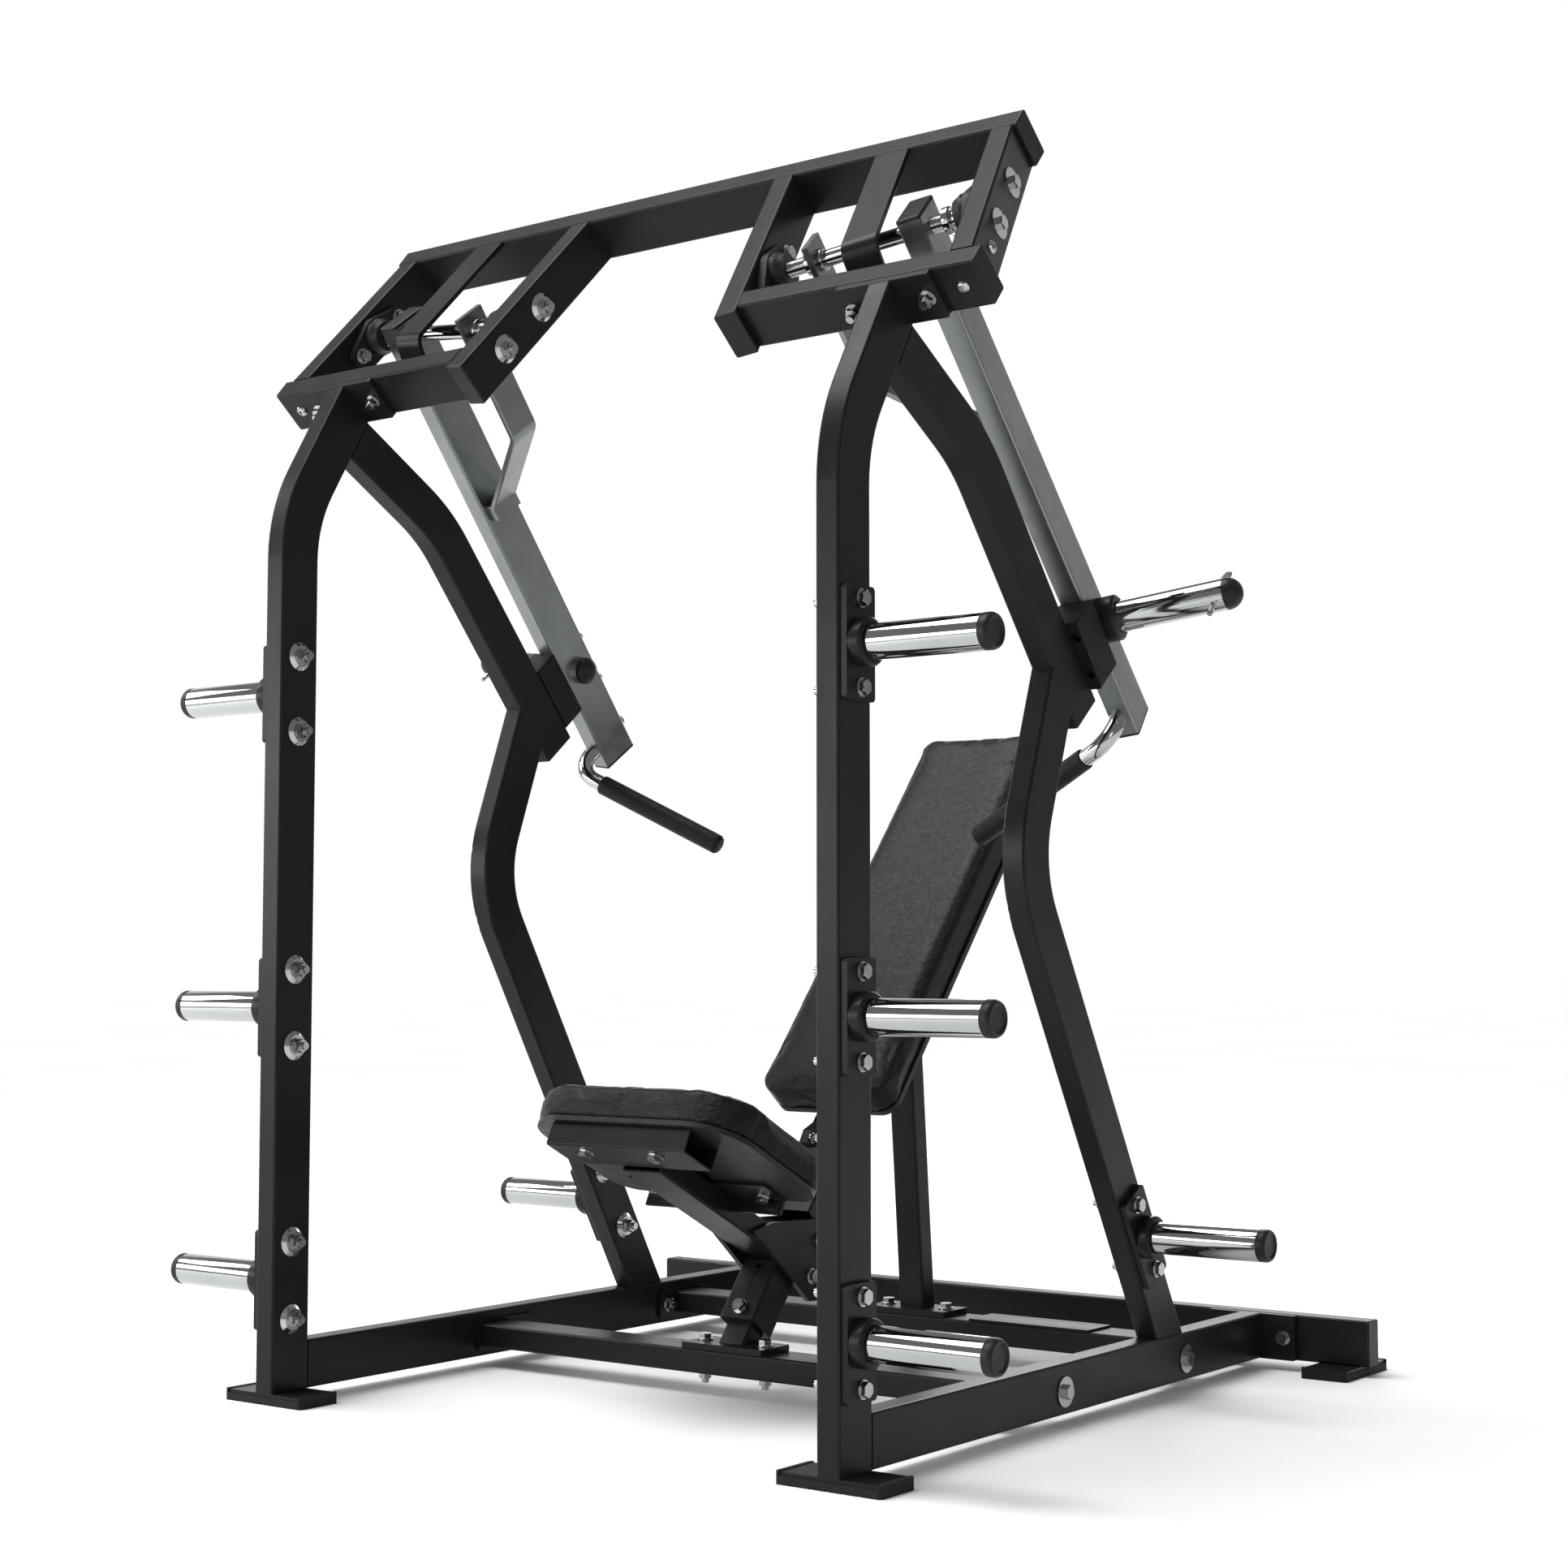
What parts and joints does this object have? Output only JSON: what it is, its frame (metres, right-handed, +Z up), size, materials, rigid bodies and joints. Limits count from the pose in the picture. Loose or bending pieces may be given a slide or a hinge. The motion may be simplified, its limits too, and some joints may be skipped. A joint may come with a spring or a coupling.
{
  "type": "plate-loaded press machine",
  "caption": "Plate-loaded press machine with bent tube side frames, twin swinging press arms, storage horns and an inclined bench.",
  "frame": {"origin": "centre of the bounding box's bottom face, on the floor", "axes": "+Z up, +X across the machine, +Y from the uprights towards the rear base tube"},
  "size_m": [1.5692, 1.3575, 1.9235],
  "materials": {
    "frame_paint": "gloss",
    "arm_silver": "satin",
    "chrome": "polished",
    "zinc_steel": "satin",
    "black_rubber": "matte",
    "black_plastic": "satin",
    "black_leather": "satin",
    "board_plastic": "satin",
    "cast_black": "satin"
  },
  "bodies": {
    "frame": {"back_pad": "black_leather", "back_post": "frame_paint", "back_rail": "frame_paint", "bearing_housings": "cast_black", "box_front_tubes": "frame_paint", "box_rails_L": "frame_paint", "box_rails_R": "frame_paint", "cover_plate": "frame_paint", "dished_washers": "zinc_steel", "foot_plates": "frame_paint", "frame_bolts": "zinc_steel", "frame_end_caps": "black_plastic", "frame_screws": "zinc_steel", "front_cross_tube": "frame_paint", "guard_straps": "frame_paint", "horn_brackets": "frame_paint", "horn_collars": "frame_paint", "horn_end_caps": "black_plastic", "joint_plates": "frame_paint", "lower_rear_leg_L": "frame_paint", "lower_rear_leg_R": "frame_paint", "middle_cross_tube": "frame_paint", "pad_boards": "board_plastic", "rear_base_tube": "frame_paint", "rubber_feet": "black_rubber", "seat_cross_members": "frame_paint", "seat_gussets": "frame_paint", "seat_long_tube": "frame_paint", "seat_pad": "black_leather", "seat_post": "frame_paint", "seat_sleeve": "frame_paint", "side_rail_L": "frame_paint", "side_rail_R": "frame_paint", "stop_blocks": "black_rubber", "storage_horns": "chrome", "top_beam": "frame_paint", "upper_rear_leg_L": "frame_paint", "upper_rear_leg_R": "frame_paint", "upright_L": "frame_paint", "upright_R": "frame_paint"},
    "press_arm_R": {"arm_tube_R": "arm_silver", "arm_brace_R": "arm_silver", "pivot_shaft_R": "chrome", "weight_sleeve_R": "chrome", "sleeve_collar_R": "frame_paint", "handle_bar_R": "chrome", "handle_grip_R": "black_rubber", "arm_caps_R": "black_plastic", "arm_screws_R": "zinc_steel"},
    "lock_pin_R": {"lock_pin_R": "zinc_steel"},
    "press_arm_L": {"arm_tube_L": "arm_silver", "arm_brace_L": "arm_silver", "pivot_shaft_L": "chrome", "weight_sleeve_L": "chrome", "sleeve_collar_L": "frame_paint", "handle_bar_L": "chrome", "handle_grip_L": "black_rubber", "arm_caps_L": "black_plastic", "arm_screws_L": "zinc_steel"},
    "lock_pin_L": {"lock_pin_L": "zinc_steel"}
  },
  "joints": [
    {"name": "press_arm_swing_R", "type": "hinge", "parent": "frame", "child": "press_arm_R", "pos_m": [0.22717, -0.43723, 1.70248], "axis": [0.9848, 0.1116, 0.133], "range_deg": [0, 60]},
    {"name": "press_arm_swing_L", "type": "hinge", "parent": "frame", "child": "press_arm_L", "pos_m": [-0.22717, -0.43723, 1.70248], "axis": [0.9848, -0.1116, -0.133], "range_deg": [0, 60]},
    {"name": "lock_pin_pull_R", "type": "slide", "parent": "press_arm_R", "child": "lock_pin_R", "axis": [-0.171, 0.7564, 0.6313], "range_m": [0, 0.05]},
    {"name": "lock_pin_pull_L", "type": "slide", "parent": "press_arm_L", "child": "lock_pin_L", "axis": [0.171, 0.7564, 0.6313], "range_m": [0, 0.05]}
  ]
}
